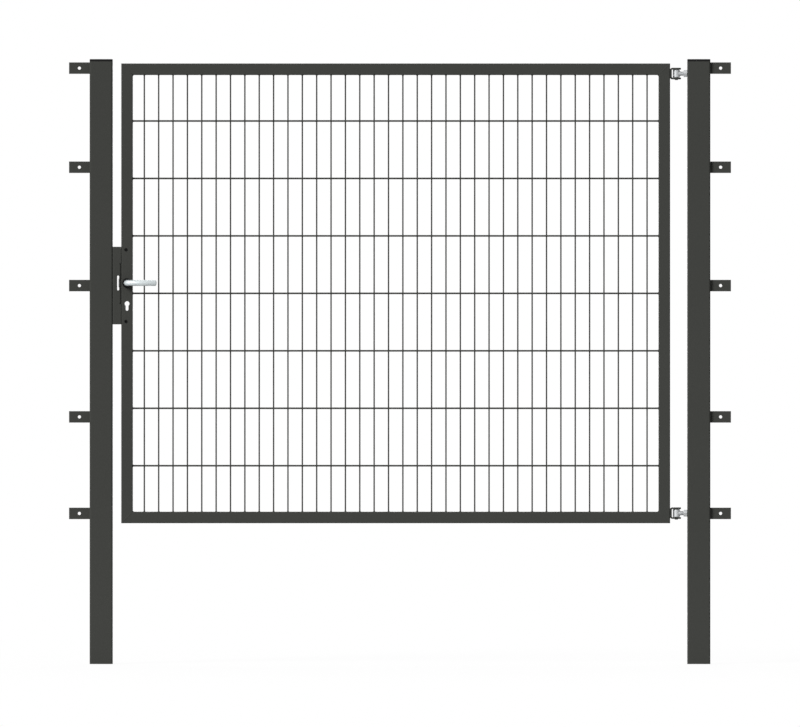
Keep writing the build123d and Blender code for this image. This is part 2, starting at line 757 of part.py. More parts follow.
# Dead bolt, drawn back flush with the faceplate, with a notch for a cylinder's cam
bolt_length = pocket_right - bolt_back_gap - leaf_left
with BuildPart() as dead_bolt:
    with BuildSketch(at_depth(0)):
        with Locations((leaf_left + bolt_length / 2, (bolt_top + bolt_bottom) / 2)):
            Rectangle(bolt_length, bolt_height)
        with Locations((lock_x, bolt_bottom + bolt_notch_height / 2)):
            Rectangle(bolt_notch_width, bolt_notch_height, mode=Mode.SUBTRACT)
    extrude(amount=bolt_thickness / 2, both=True)
save(dead_bolt, "dead_bolt")

# Keep: channel in section, open towards the leaf, its rear flange reaching behind the stile
keep_front = -leaf_half
keep_back = leaf_half + stop_gap + keep_sheet
keep_edge = leaf_left - keep_gap
web_inner = lock_post_face + keep_sheet
slot_x = leaf_left - keep_slot_offset
lip_bottom = lever_height - lip_drop
lip_top = lever_height + lip_rise
lip_start = keep_edge - lip_bend
lip_inner = lip_bend - keep_sheet
lip_back = keep_edge - keep_sheet
with BuildPart() as keep:
    with BuildSketch(at_height(lock_bottom)):
        with BuildLine():
            Polyline(
                (lock_post_face, keep_front),
                (keep_edge, keep_front),
                (keep_edge, keep_front + keep_sheet),
                (web_inner, keep_front + keep_sheet),
                (web_inner, keep_back - keep_sheet),
                (leaf_left + stop_cover, keep_back - keep_sheet),
                (leaf_left + stop_cover, keep_back),
                (lock_post_face, keep_back),
                close=True,
            )
        make_face()
    extrude(amount=lock_length)
    fillet(keep.edges().filter_by(Axis.Z).group_by(Axis.X)[0], keep_bend)
    inner_folds = keep.edges().filter_by(Axis.Z).filter_by_position(
        Axis.X, web_inner - edge_band, web_inner + edge_band
    )
    fillet(inner_folds, keep_inner_bend)
    # Stop tongues behind the stile at the top and the bottom
    with BuildSketch(at_depth(keep_back)):
        for stop_middle in (lock_bottom + stop_height / 2, lock_top - stop_height / 2):
            with Locations((leaf_left + (stop_cover + stop_reach) / 2, stop_middle)):
                Rectangle(stop_reach - stop_cover, stop_height)
    extrude(amount=keep_sheet)
    # The lip that holds the latch and the bolt: the front flange folded in, with a relief at each end
    with BuildSketch(at_depth(keep_front)):
        with Locations((keep_edge - lip_bend / 2, (lip_bottom + lip_top) / 2)):
            Rectangle(lip_bend, lip_top - lip_bottom + 2 * lip_relief)
    extrude(amount=-keep_sheet, mode=Mode.SUBTRACT)
    with BuildSketch(at_height(lip_bottom)):
        with BuildLine():
            Line((lip_start, keep_front + keep_sheet), (lip_start, keep_front))
            CenterArc((lip_start, keep_front + lip_bend), lip_bend, -90, 90)
            Line((keep_edge, keep_front + lip_bend), (keep_edge, keep_front + lip_depth))
            Line((keep_edge, keep_front + lip_depth), (lip_back, keep_front + lip_depth))
            Line((lip_back, keep_front + lip_depth), (lip_back, keep_front + lip_bend))
            CenterArc((lip_start, keep_front + lip_bend), lip_inner, -90, 90)
        make_face()
    extrude(amount=lip_top - lip_bottom)
    # Upright slot through both flanges at the latch
    with BuildSketch(at_depth(0)):
        with Locations((slot_x, lever_height)):
            SlotOverall(keep_slot_length, keep_slot_width, rotation=90)
    extrude(amount=tube_size, both=True, mode=Mode.SUBTRACT)
    with BuildSketch(at_side(lock_post_face)):
        with Locations(*[(0, z) for z in keep_screw_heights]):
            Circle(keep_screw_diameter / 2 + screw_gap)
    extrude(amount=keep_sheet, mode=Mode.SUBTRACT)
save(keep, "keep")

with BuildPart() as keep_screws:
    with BuildSketch(at_side(web_inner)):
        with Locations(*[(0, z) for z in keep_screw_heights]):
            Circle(keep_screw_head / 2)
    extrude(amount=keep_screw_head_height)
    fillet(keep_screws.edges().group_by(Axis.X)[-1], keep_screw_head_height / 2)
    with BuildSketch(at_side(web_inner)):
        with Locations(*[(0, z) for z in keep_screw_heights]):
            Circle(keep_screw_diameter / 2)
    extrude(amount=-keep_screw_length)
    with BuildSketch(at_side(web_inner + keep_screw_head_height)):
        with Locations(*[(0, z) for z in keep_screw_heights]):
            RegularPolygon(keep_screw_socket / 2, 6, major_radius=False)
    extrude(amount=-keep_screw_socket_depth, mode=Mode.SUBTRACT)
save(keep_screws, "keep_screws")

with BuildPart() as stop_pads:
    with BuildSketch(at_depth(keep_back - keep_sheet)):
        for stop_middle in (lock_bottom + stop_height / 2, lock_top - stop_height / 2):
            with Locations((leaf_left + stop_reach - pad_edge - pad_width / 2, stop_middle)):
                Rectangle(pad_width, stop_height - 2 * pad_inset)
    extrude(amount=stop_gap - pad_gap)
save(stop_pads, "stop_pads")
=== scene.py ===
# %% [markdown]
# # A single fence gate, dressed for the camera
# The solids of the gate come from CAD and stay exactly where they are. This lesson gives them their
# finishes and adds what CAD leaves out: weld beads, screw threads, chamfered nuts, bowed levers and ribbed
# rubber. All lengths are in metres, +Z is up, and the viewer stands on the -Y side.

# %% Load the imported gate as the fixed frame
import json
import math
import random

import bmesh
import bpy
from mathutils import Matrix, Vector


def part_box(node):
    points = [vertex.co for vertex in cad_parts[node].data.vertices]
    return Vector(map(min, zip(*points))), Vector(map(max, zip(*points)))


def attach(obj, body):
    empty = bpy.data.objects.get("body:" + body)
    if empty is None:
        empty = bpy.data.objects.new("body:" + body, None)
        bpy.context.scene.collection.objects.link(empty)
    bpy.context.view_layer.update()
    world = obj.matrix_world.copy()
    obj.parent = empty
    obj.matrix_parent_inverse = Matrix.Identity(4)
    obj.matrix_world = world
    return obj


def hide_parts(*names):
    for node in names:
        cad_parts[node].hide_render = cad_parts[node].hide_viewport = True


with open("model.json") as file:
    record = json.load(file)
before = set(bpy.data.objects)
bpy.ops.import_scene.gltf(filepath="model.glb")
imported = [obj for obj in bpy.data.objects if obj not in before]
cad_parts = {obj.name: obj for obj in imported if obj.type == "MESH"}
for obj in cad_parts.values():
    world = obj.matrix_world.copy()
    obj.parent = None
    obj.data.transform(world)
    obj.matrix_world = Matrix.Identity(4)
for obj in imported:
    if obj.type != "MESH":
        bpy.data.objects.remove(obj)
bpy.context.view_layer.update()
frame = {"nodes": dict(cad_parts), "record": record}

nodes = frame["nodes"]
scene = bpy.context.scene
MM = 0.001

# %% [markdown]
# ## Writing shaders as sums
# Shader maths is easier to read as an expression than as boxes and noodles. A wire wraps one socket; adding
# or multiplying wires adds Math nodes, and `node` adds any other node. Settings come before sockets,
# because a setting such as a Mix node's data type decides which sockets there are. A Mix node keeps sockets
# for numbers, vectors and colours side by side under the same names, so its colours are reached by their
# place in the row.

# %% A wire: one socket, with arithmetic
MIX_COLOUR_A, MIX_COLOUR_B, MIX_COLOUR_OUT = 6, 7, 2


class Wire:
    def __init__(self, tree, socket=None):
        self.tree = tree
        self.socket = socket

    def node(self, kind, settings=(), inputs=(), output=0):
        made = self.tree.nodes.new(kind)
        for name, value in dict(settings).items():
            setattr(made, name, value)
        for name, value in dict(inputs).items():
            if isinstance(value, Wire):
                self.tree.links.new(value.socket, made.inputs[name])
            else:
                made.inputs[name].default_value = value
        return Wire(self.tree, made.outputs[output]) if made.outputs else made

    def math(self, operation, first, second):
        return self.node("ShaderNodeMath", {"operation": operation}, {0: first, 1: second})

    def __add__(self, other):
        return self.math("ADD", self, other)

    def __sub__(self, other):
        return self.math("SUBTRACT", self, other)

    def __rsub__(self, other):
        return self.math("SUBTRACT", other, self)

    def __mul__(self, other):
        return self.math("MULTIPLY", self, other)

    def __gt__(self, other):
        return self.math("GREATER_THAN", self, other)

    __radd__ = __add__
    __rmul__ = __mul__

    def clamped(self):
        return self.node("ShaderNodeClamp", {}, {"Value": self, "Min": 0.0, "Max": 1.0})

    def blend(self, colour_a, colour_b):
        """Colour a where this wire is 0, colour b where it is 1."""
        inputs = {"Factor": self, MIX_COLOUR_A: colour_a, MIX_COLOUR_B: colour_b}
        return self.node("ShaderNodeMix", {"data_type": "RGBA"}, inputs, MIX_COLOUR_OUT)


def grey(value, warmth=0.0):
    """A near-neutral colour; warmth tilts it from blue to red."""
    return (value * (1 + warmth), value, value * (1 - warmth), 1.0)


print("wires ready")

# %% [markdown]
# ## Finishes
# A finish starts from the object's own coordinates in metres, so grain has its real size on every piece and
# stays put when a piece swings. Noise of several sizes gives tone, gloss and relief. Sharp CAD edges look
# drawn with a ruler, so a bevelled normal softens them by the fraction of a millimetre that paint or
# tumbling leaves.

# %% The start of every finish
BEVEL_SAMPLES = 4


class Finish(Wire):
    def __init__(self, name, edge=0.0, **sockets):
        self.material = bpy.data.materials.new(name)
        self.material.use_nodes = True
        super().__init__(self.material.node_tree)
        self.shader = self.tree.nodes["Principled BSDF"]
        self.sockets = self.shader.inputs
        for socket, value in sockets.items():
            self.sockets[socket.replace("_", " ")].default_value = value
        self.place = self.node("ShaderNodeTexCoord", output="Object")
        self.edge = None
        if edge:
            self.edge = self.node("ShaderNodeBevel", {"samples": BEVEL_SAMPLES}, {"Radius": edge})

    def noise(self, per_metre, detail=2.0, stretch=(1, 1, 1)):
        """Noise with this many cells to a metre, drawn out along an axis where stretch is small."""
        at = self.node("ShaderNodeVectorMath", {"operation": "MULTIPLY"}, {0: self.place, 1: stretch})
        inputs = {"Vector": at, "Scale": per_metre, "Detail": detail, "Roughness": 0.5}
        return self.node("ShaderNodeTexNoise", {"noise_dimensions": "3D"}, inputs)

    def worn(self, strength):
        """0 on flat faces, rising to 1 where the softened normal leaves the true one: along edges."""
        true_normal = self.node("ShaderNodeNewGeometry", output="Normal")
        normals = {0: self.edge, 1: true_normal}
        agree = self.node("ShaderNodeVectorMath", {"operation": "DOT_PRODUCT"}, normals, "Value")
        return ((1 - agree) * strength).clamped()

    def paint(self, socket, wire):
        self.tree.links.new(wire.socket, self.sockets[socket])

    def relief(self, height, depth):
        """Raises the surface by height times depth, in metres, over the softened edges."""
        inputs = {"Height": height, "Distance": depth, "Strength": 1.0}
        if self.edge:
            inputs["Normal"] = self.edge
        self.paint("Normal", self.node("ShaderNodeBump", {}, inputs))


print("finish class ready")

# %% [markdown]
# ### Powder coat
# Dark grey powder is sprayed on the galvanised steel and baked. Close to, it has a fine grain and a soft
# orange peel; from a distance it is an even, nearly matt grey. Dust settles a little on faces that look up.
# Powder draws back from edges as it melts, so the coat is thin, paler and glossier there. A single grey
# would look like a drawing, so tone, gloss and relief are mixed from three noises, from clouds to grain.

# %% Powder coat
POWDER_DARK, POWDER_PALE = (0.0375, 0.0386, 0.0350, 1), (0.0565, 0.0580, 0.0530, 1)
THIN_COAT, DUST = grey(0.066, 0.01), grey(0.085, 0.05)
LOOKS_UP = 0.75
coat = Finish("dark_grey_powder_coat", edge=0.5 * MM, Specular_IOR_Level=0.06)
clouds = coat.noise(per_metre=2.5, detail=3)
peel = coat.noise(per_metre=420, detail=1)
grain = coat.noise(per_metre=1900, detail=2)
normal = coat.node("ShaderNodeNewGeometry", output="Normal")
facing_up = coat.node("ShaderNodeSeparateXYZ", {}, {0: normal}, "Z")
dusty = ((facing_up > LOOKS_UP) * clouds * 0.35).clamped()
thin = 0.6 * coat.worn(strength=4.0)
tone = (0.35 * clouds + 0.35 * peel + 0.3 * grain).clamped()
powder = tone.blend(POWDER_DARK, POWDER_PALE)
coat.paint("Base Color", dusty.blend(thin.blend(powder, THIN_COAT), DUST))
coat.paint("Roughness", 0.46 + 0.10 * grain + 0.05 * clouds - 0.08 * thin)
coat.relief(0.6 * peel + 0.4 * grain, depth=0.15 * MM)
print("powder coat made")

# %% [markdown]
# ### Black mouldings
# The post caps and the roses are injection moulded. Their mould is spark eroded, which leaves an even fine
# grain, so the relief is a cell pattern rather than the softer noise of the paint.

# %% Black plastic
plastic = Finish("black_moulded_plastic", edge=0.4 * MM, Specular_IOR_Level=0.06)
cells = plastic.node("ShaderNodeTexVoronoi", {}, {"Vector": plastic.place, "Scale": 1500.0})
flow = plastic.noise(per_metre=9).blend(grey(0.0085), grey(0.0115))
plastic.paint("Base Color", plastic.worn(strength=2.0).blend(flow, grey(0.016)))
plastic.paint("Roughness", 0.55 + 0.14 * cells)
plastic.relief(cells, depth=0.04 * MM)
print("plastic made")

# %% [markdown]
# ### Rubber
# The pads that the leaf closes against are black rubber. Wax and oil come to its surface with time as a
# faint grey bloom, so one noise drives both its tone and its dullness: where it is paler, it is duller too.

# %% Black rubber
rubber = Finish("black_rubber", edge=0.3 * MM, Specular_IOR_Level=0.25)
bloom = rubber.noise(per_metre=160, detail=3)
rubber.paint("Base Color", bloom.blend(grey(0.010), grey(0.021)))
rubber.paint("Roughness", 0.68 + 0.2 * bloom)
rubber.relief(rubber.noise(per_metre=1400), depth=0.05 * MM)
print("rubber made")

# %% [markdown]
# ### Zinc plating
# Eye bolts, nuts and the latch works are zinc plated, a little blue with paler patches where the plating is
# thicker. As a full metal it would only mirror the white studio and lose its form. Plating scatters part of
# the light in its own skin, so it is half metallic here, and its shaded side stays darker than its lit one.

# %% Bright zinc
ZINC_BLUE, ZINC_PALE = (0.36, 0.377, 0.398, 1), (0.62, 0.627, 0.625, 1)
zinc = Finish("bright_zinc", edge=0.35 * MM, Metallic=0.5, Specular_IOR_Level=0.3)
patches = zinc.noise(per_metre=140, detail=3)
plating = patches.blend(ZINC_BLUE, ZINC_PALE)
zinc.paint("Base Color", zinc.worn(strength=2.0).blend(plating, grey(0.80)))
zinc.paint("Roughness", 0.40 + 0.20 * patches)
zinc.relief(zinc.noise(per_metre=900), depth=0.02 * MM)
print("zinc made")

# %% [markdown]
# ### Brushed stainless steel
# The lock's faceplate and the small screws beside it are stainless steel, brushed along the stile. Straight
# stripes would repeat too evenly, so the strokes are noise that is drawn out fifty times along Z.

# %% Brushed stainless
stainless = Finish("brushed_stainless", edge=0.3 * MM, Metallic=1.0)
strokes = stainless.noise(per_metre=2600, detail=2, stretch=(1, 1, 0.02))
stainless.paint("Base Color", strokes.blend(grey(0.52, 0.01), grey(0.66, 0.01)))
stainless.paint("Roughness", 0.24 + 0.18 * strokes)
stainless.relief(strokes, depth=0.012 * MM)
print("stainless made")

# %% [markdown]
# ### Cast alloy
# The lock's case and cover are die cast. The die's own skin and the cooling metal leave a slightly pebbled
# grey, so one noise with much detail gives its tone, gloss and relief together, as all three come from the
# same casting.

# %% Cast alloy
alloy = Finish("cast_alloy", edge=0.5 * MM, Metallic=1.0)
pebbles = alloy.noise(per_metre=380, detail=4)
alloy.paint("Base Color", pebbles.blend(grey(0.33), grey(0.47)))
alloy.paint("Roughness", 0.46 + 0.2 * pebbles)
alloy.relief(pebbles, depth=0.05 * MM)
print("cast alloy made")

# %% [markdown]
# ### Satin aluminium
# The levers are blasted and then anodised, which leaves them pale, cool and satin. The clear oxide scatters
# much of the light, so the levers are less metallic than the zinc. A broad noise shades them, a very fine
# one is the blast.

# %% Satin aluminium
OXIDE_SHADED, OXIDE_PALE = (0.625, 0.68, 0.695, 1), (0.675, 0.73, 0.74, 1)
satin = Finish("satin_aluminium", Metallic=0.3, Specular_IOR_Level=0.4)
blast = satin.noise(per_metre=3200, detail=2)
shade = satin.noise(per_metre=45, detail=2)
satin.paint("Base Color", shade.blend(OXIDE_SHADED, OXIDE_PALE))
satin.paint("Roughness", 0.36 + 0.10 * blast)
satin.relief(blast, depth=0.008 * MM)
print("aluminium made")

# %% [markdown]
# ### Blackened steel
# The hinge pins and the screws that hold the lock are blackened. That is an oxide skin with a film of oil
# and no bare metal, so it takes a plain dark finish, and only worn edges are a little paler.

# %% Blackened steel
blackened = Finish("blackened_steel", edge=0.3 * MM, Specular_IOR_Level=0.05)
oil = blackened.noise(per_metre=700, detail=2)
oxide = oil.blend(grey(0.004), grey(0.007))
blackened.paint("Base Color", blackened.worn(strength=1.5).blend(oxide, grey(0.02)))
blackened.paint("Roughness", 0.36 + 0.18 * oil)
blackened.relief(oil, depth=0.02 * MM)
print("blackened steel made")

# %% [markdown]
# ### Dressing the CAD pieces
# The record already says which slot each CAD piece takes its finish from, so one table from slot to finish
# dresses all of them. The meshes themselves aren't touched.

# %% Give every CAD piece its finish
finishes = {
    "powder_coat": coat,
    "black_plastic": plastic,
    "bright_zinc": zinc,
    "stainless": stainless,
    "black_steel": blackened,
    "cast_alloy": alloy,
    "satin_aluminium": satin,
    "black_rubber": rubber,
}
for part in frame["record"]["subparts"]:
    piece_slots = nodes[part["node"]].data.materials
    piece_slots.clear()
    piece_slots.append(finishes[part["material_slot"]].material)

# %% [markdown]
# ## Pieces that CAD leaves out
# Weld beads, threads, nuts, levers and ribbed pads are all drawn the same way here: as rings of points, set
# one behind another and joined by quads. Blender's own cylinders and tori would need a modifier for every
# ripple; with rings, a ripple is just a radius that changes.

# %% Rings to a skin
def turn(count):
    """Cosine and sine of evenly spaced angles, once round."""
    return [(math.cos(a), math.sin(a)) for a in (2 * math.pi * i / count for i in range(count))]


def skin(mesh, rings, closed=False):
    """Joins rings of points, one behind another. An open row of rings is capped at both ends."""
    rows = [[mesh.verts.new(point) for point in ring] for ring in rings]
    following = rows[1:] + rows[:1] if closed else rows[1:]
    for row, after in zip(rows, following):
        for corner in range(len(row)):
            mesh.faces.new((row[corner - 1], row[corner], after[corner], after[corner - 1]))
    if not closed:
        mesh.faces.new(rows[0][::-1])
        mesh.faces.new(rows[-1])


print("ring tools ready")

# %% [markdown]
# A mesh becomes a piece of the gate when it has a finish, picked by the record's name for that finish, and a
# body to ride on. It is shaded smooth except at edges sharper than 38 degrees. Blender has a modifier for
# that, but marking the edges once keeps the finished mesh plain. A piece that stands for a CAD piece hides
# it.

# %% A skin to a piece
SHARP = math.radians(38)


def solid(name, mesh):
    """Puts a closed mesh into the scene as a plain object."""
    data = bpy.data.meshes.new(name)
    mesh.to_mesh(data)
    mesh.free()
    made = bpy.data.objects.new(name, data)
    scene.collection.objects.link(made)
    return made


def piece(name, mesh, slot, body, *stands_for):
    """Turns a mesh into a dressed piece that rides on a body."""
    bmesh.ops.recalc_face_normals(mesh, faces=mesh.faces)
    for face in mesh.faces:
        face.smooth = True
    for edge in mesh.edges:
        edge.smooth = edge.calc_face_angle(0.0) < SHARP
    made = solid(name, mesh)
    made.data.materials.append(finishes[slot].material)
    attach(made, body)
    if stands_for:
        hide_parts(*stands_for)
    print(f"{name}: {len(made.data.polygons)} faces on {body}")


print("pieces ready to be made")

# %% [markdown]
# ### Welded mesh
# A double-rod mesh is welded at every crossing: the level rods are pressed into the uprights while current
# melts the touching spot, and a flat nugget squeezes out between them. It is grey with the same powder, so
# it is seen as shape alone. The places of the crossings are worked out from the boxes of the rods, so they
# follow the CAD.

# %% Where the rods cross
UPRIGHTS, LEVELS = 36, 7
UP, RIGHT = Vector((0, 0, 1)), Vector((1, 0, 0))
up_low, up_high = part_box("upright_rods")
rod_boxes = {name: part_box(name) for name in ("front_rods", "rear_rods")}
front_low, front_high = rod_boxes["front_rods"]
up_radius = (up_high.y - up_low.y) / 2
level_radius = (front_high.y - front_low.y) / 2


def spaced(first, last, count):
    return [first + (last - first) * i / (count - 1) for i in range(count)]


columns = spaced(up_low.x + up_radius, up_high.x - up_radius, UPRIGHTS)
rows_at = spaced(front_low.z + level_radius, front_high.z - level_radius, LEVELS)
print(f"rods cross {(columns[1] - columns[0]) / MM:.1f} by {(rows_at[1] - rows_at[0]) / MM:.1f} mm apart")

# %% [markdown]
# A nugget is a small flattened ball, half in one rod and half in the other. Spheres as objects of their own
# would be slow with two at each of 252 crossings, so all go into one mesh, five rings each. Their size
# varies a little by chance. The chance has a seed, so that every run gives the same welds.

# %% Spot welds at the crossings
NUGGET_REACH, NUGGET_THICK, NUGGET_SIDES = 3.6 * MM, 1.3 * MM, 10
NUGGET_LIFTS = (-0.92, -0.5, 0.0, 0.5, 0.92)
NUGGET_SPREAD = (0.93, 1.07)
SEED = 4
chance = random.Random(SEED)
nuggets = bmesh.new()
for side in (-1, 1):
    for x in columns:
        for z in rows_at:
            rings = []
            for lift in NUGGET_LIFTS:
                reach = NUGGET_REACH * math.sqrt(1 - lift * lift) * chance.uniform(*NUGGET_SPREAD)
                y = side * up_radius + lift * NUGGET_THICK
                rings.append([Vector((x + reach * c, y, z + reach * s)) for c, s in turn(NUGGET_SIDES)])
            skin(nuggets, rings)
piece("mesh_spot_welds", nuggets, "powder_coat", "leaf")

# %% [markdown]
# The rod ends are welded to the frame with a small ring of filler, run round by hand and never quite even.
# A ring's outline is a hollow fillet, turned about the rod, whose reach is a little different at every
# corner of the ring.

# %% Rings of filler at the rod ends
UPRIGHT_LEG, LEVEL_LEG, FILLER_SIDES = 2.4 * MM, 2.6 * MM, 14
FILLER_SPREAD = (0.88, 1.12)
# Height along the rod and reach beyond its skin, as shares of the weld's leg
FILLER_OUTLINE = [(-0.15, -0.4), (-0.15, 1.0), (0.25, 0.62), (0.55, 0.30), (1.0, 0.04), (1.0, -0.4)]


def filler_ring(mesh, centre, along, radius, leg):
    """A fillet round a rod where it meets a wall; along points from the wall into the open."""
    across = along.orthogonal().normalized()
    other = along.cross(across)
    uneven = [chance.uniform(*FILLER_SPREAD) for _ in range(FILLER_SIDES)]
    rings = []
    for height, reach in FILLER_OUTLINE:
        spread = [radius + leg * reach * wobble for wobble in uneven]
        foot = centre + along * leg * height
        rings.append([foot + r * (across * c + other * s) for r, (c, s) in zip(spread, turn(FILLER_SIDES))])
    skin(mesh, rings, closed=True)


rod_welds = bmesh.new()
for x in columns:
    filler_ring(rod_welds, Vector((x, 0, up_low.z)), UP, up_radius, UPRIGHT_LEG)
    filler_ring(rod_welds, Vector((x, 0, up_high.z)), -UP, up_radius, UPRIGHT_LEG)
for low, high in rod_boxes.values():
    for z in rows_at:
        y = (low.y + high.y) / 2
        filler_ring(rod_welds, Vector((low.x, y, z)), RIGHT, level_radius, LEVEL_LEG)
        filler_ring(rod_welds, Vector((high.x, y, z)), -RIGHT, level_radius, LEVEL_LEG)
piece("rod_end_welds", rod_welds, "powder_coat", "leaf")

# %% [markdown]
# ### Weld beads
# Tabs, hinge brackets and the frame's corners are joined by a run of weld. The pool freezes in steps as the
# torch moves on, so a bead is a row of overlapping crescents. Each ring below is a quarter of a round bar
# laid in the corner; its size rises and falls once a ripple, and its middle lags behind, which curves the
# ripples.

# %% A bead along a corner
RIPPLE, RINGS_A_RIPPLE, RIPPLE_SWELL, BEAD_WOBBLE = 2.6 * MM, 4, 0.07, 0.03
# A bead starts and ends thinner, over this many ripples, and its root is sunk by a share of its legs
END_SIZE, END_RIPPLES, ROOT_SINK = 0.6, 3, 0.12
# A bead's face lies between a flat chamfer and a full round, and its middle lags by a share of a ripple
CHAMFER_SHARE, RIPPLE_LAG = 0.55, 0.35
FACE_ANGLES = (-7, 14, 35, 55, 76, 97)


def bead(mesh, start, end, leg_a, leg_b):
    """Lays a bead from start to end in a corner. The legs are vectors along the two walls that meet there."""
    run = end - start
    ahead = run.normalized()
    steps = math.ceil(run.length / (RIPPLE / RINGS_A_RIPPLE))
    rings = []
    for i in range(steps + 1):
        along = run.length * i / steps
        from_end = min(along, run.length - along)
        size = min(1.0, END_SIZE + from_end / (END_RIPPLES * RIPPLE))
        swell = RIPPLE_SWELL * math.cos(2 * math.pi * along / RIPPLE)
        size *= 1 + swell + chance.uniform(-BEAD_WOBBLE, BEAD_WOBBLE)
        foot = start + ahead * along
        ring = [foot - ROOT_SINK * (leg_a + leg_b)]
        for t in map(math.radians, FACE_ANGLES):
            belly = CHAMFER_SHARE / (abs(math.cos(t)) + abs(math.sin(t))) + 1 - CHAMFER_SHARE
            lag = RIPPLE_LAG * RIPPLE * math.sin(2 * t) * min(1.0, from_end / RIPPLE)
            ring.append(foot + size * belly * (leg_a * math.cos(t) + leg_b * math.sin(t)) - ahead * lag)
        rings.append(ring)
    skin(mesh, rings)


print("bead ready")

# %% [markdown]
# Each post carries five tabs, to which the next fence panel is bolted. A tab is welded on in front and
# behind, and the bead stops just short of its upper and lower edges.

# %% Beads on the fence tabs
TABS, TAB_LEG, BEAD_INSET = 5, 3.0 * MM, 1.5 * MM
tab_welds = bmesh.new()
for place, outward in (("lock", -RIGHT), ("hinge", RIGHT)):
    for number in range(1, TABS + 1):
        low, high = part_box(f"{place}_tab_{number}")
        root = high.x if outward.x < 0 else low.x
        for side, y in ((-1, low.y), (1, high.y)):
            start = Vector((root, y, low.z + BEAD_INSET))
            end = Vector((root, y, high.z - BEAD_INSET))
            bead(tab_welds, start, end, outward * TAB_LEG, Vector((0, side * TAB_LEG, 0)))
piece("tab_welds", tab_welds, "powder_coat", "posts")

# %% [markdown]
# A hinge bracket is a strip folded to a U. Its bends leave a groove against the stile above and below,
# which the weld fills, and its sides meet the stile in a shallow corner. The beads run past one another at
# the corners, so that the bracket is sealed all round before it is coated.

# %% Beads on the hinge brackets
BEND_START, GROOVE_LEG, SIDE_LEG, SIDE_SPREAD = 13.5 * MM, 3.4 * MM, 1.8 * MM, 1.4
PAST_EDGE, PAST_BEND = 1.0 * MM, 2.5 * MM
bracket_welds = bmesh.new()
for place in ("upper", "lower"):
    low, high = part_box(f"{place}_bracket")
    middle = (low.z + high.z) / 2
    climb = BEND_START + PAST_BEND
    for side in (-1, 1):
        z = middle + side * BEND_START
        start, end = Vector((low.x, low.y - PAST_EDGE, z)), Vector((low.x, high.y + PAST_EDGE, z))
        bead(bracket_welds, start, end, RIGHT * GROOVE_LEG, UP * side * GROOVE_LEG)
        y = side * high.y
        start, end = Vector((low.x, y, middle - climb)), Vector((low.x, y, middle + climb))
        bead(bracket_welds, start, end, RIGHT * SIDE_SPREAD * SIDE_LEG, Vector((0, side * SIDE_LEG, 0)))
piece("bracket_welds", bracket_welds, "powder_coat", "leaf")

# %% [markdown]
# The frame's tubes are mitred. On the faces the weld is ground down, and a low ridge stays across the
# mitre. Inside the corner no grinder reaches, so the bead stays as it was laid. A ridge could be bump in
# the paint, but as a mesh it catches the light from every side and goes along when the meshes are used
# without their paint.

# %% A ground seam
SEAM_HALF, SEAM_RISE, SEAM_STEPS = 2.6 * MM, 0.35 * MM, 40
SEAM_END, SEAM_TAPER_STEPS = 0.3, 4
RISE_SPREAD, HALF_SPREAD = (0.75, 1.0), (0.92, 1.08)
# Places across the seam and their heights, as shares of its half width and its rise
SEAM_ARCH = [(-1, -0.3), (-0.72, 0.5), (-0.3, 0.92), (0.3, 0.92), (0.72, 0.5), (1, -0.3)]


def seam(mesh, start, end, out):
    """A low ridge on a flat face: what is left of a bead after grinding."""
    ahead = (end - start).normalized()
    across = ahead.cross(out)
    rings = []
    for i in range(SEAM_STEPS + 1):
        foot = start.lerp(end, i / SEAM_STEPS)
        taper = min(1.0, SEAM_END + min(i, SEAM_STEPS - i) / SEAM_TAPER_STEPS)
        rise = SEAM_RISE * chance.uniform(*RISE_SPREAD) * taper
        half = SEAM_HALF * chance.uniform(*HALF_SPREAD) * taper
        rings.append([foot + across * half * u + out * rise * v for u, v in SEAM_ARCH])
    skin(mesh, rings)


print("seam ready")

# %% [markdown]
# Each of the four corners gets a seam on its front and on its rear face, and one bead through its depth.
# They stop short of the tube's rounded edges.

# %% Seams and beads in the frame's corners
CORNER_LEG, CORNER_ROUND = 3.2 * MM, 4 * MM
leaf_low = Vector((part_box("lock_stile")[0].x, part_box("lock_stile")[0].y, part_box("bottom_rail")[0].z))
leaf_high = Vector((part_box("hinge_stile")[1].x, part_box("hinge_stile")[1].y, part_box("top_rail")[1].z))
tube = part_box("top_rail")[1].z - up_high.z
frame_welds = bmesh.new()
for x, inward in ((leaf_low.x, RIGHT), (leaf_high.x, -RIGHT)):
    for z, inner in ((leaf_low.z, UP), (leaf_high.z, -UP)):
        outer = Vector((x, 0, z))
        diagonal = inward + inner
        inside = outer + diagonal * tube
        for y in (leaf_low.y, leaf_high.y):
            out = Vector((0, math.copysign(1, y), 0))
            face = Vector((0, y, 0))
            start, end = outer + face + diagonal * CORNER_ROUND, inside + face - diagonal * CORNER_ROUND
            seam(frame_welds, start, end, out)
        depth = Vector((0, leaf_high.y - CORNER_ROUND, 0))
        bead(frame_welds, inside - depth, inside + depth, inward * CORNER_LEG, inner * CORNER_LEG)
piece("frame_welds", frame_welds, "powder_coat", "leaf")

# %% [markdown]
# ### Hinge hardware
# Each hinge hangs on an eye bolt: a short barrel on a threaded shank that screws into the post, with a nut
# to lock it. Barrel and shank are one forging. Two skins pushed into each other would look the same, but
# would leave faces inside the metal, so Blender's Boolean joins them into one. Its exact solver can leave
# slivers along the join, which are closed by merging points that lie within a hundredth of a millimetre.

# %% Joining and cutting with Blender's Boolean
SLIVER = 0.01 * MM


